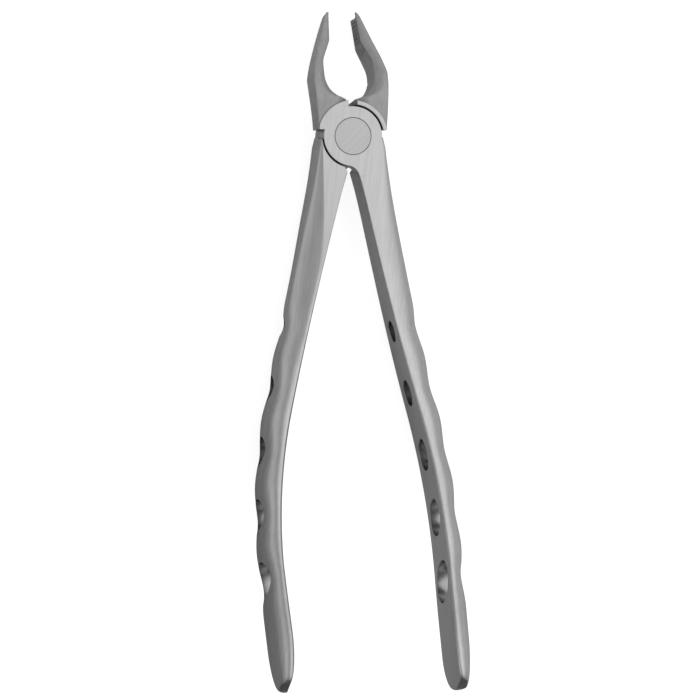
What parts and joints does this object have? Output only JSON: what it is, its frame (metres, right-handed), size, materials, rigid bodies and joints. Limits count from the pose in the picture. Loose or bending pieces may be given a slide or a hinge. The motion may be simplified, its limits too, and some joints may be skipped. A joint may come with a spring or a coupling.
{
  "type": "extraction forceps",
  "caption": "Dental extraction forceps with leaning hollow jaws, a round lap joint on a flush pivot and pierced, waved handles.",
  "frame": {"origin": "on the pivot axis in the plane of the joint's back face", "axes": "+Z along the pivot axis toward the front face, +Y toward the tips of the jaws, +X to the right"},
  "size_m": [0.0538, 0.1757, 0.0415],
  "materials": {
    "satin_steel": "satin",
    "pivot_steel": "ground"
  },
  "bodies": {
    "rear": {"rear_half": "satin_steel", "pivot": "pivot_steel"},
    "front": {"front_half": "satin_steel"}
  },
  "joints": [
    {"name": "pivot_hinge", "type": "hinge", "parent": "rear", "child": "front", "pos_m": [0, 0, 0.0048], "axis": [0, 0, 1], "range_deg": [-12, 13]}
  ]
}
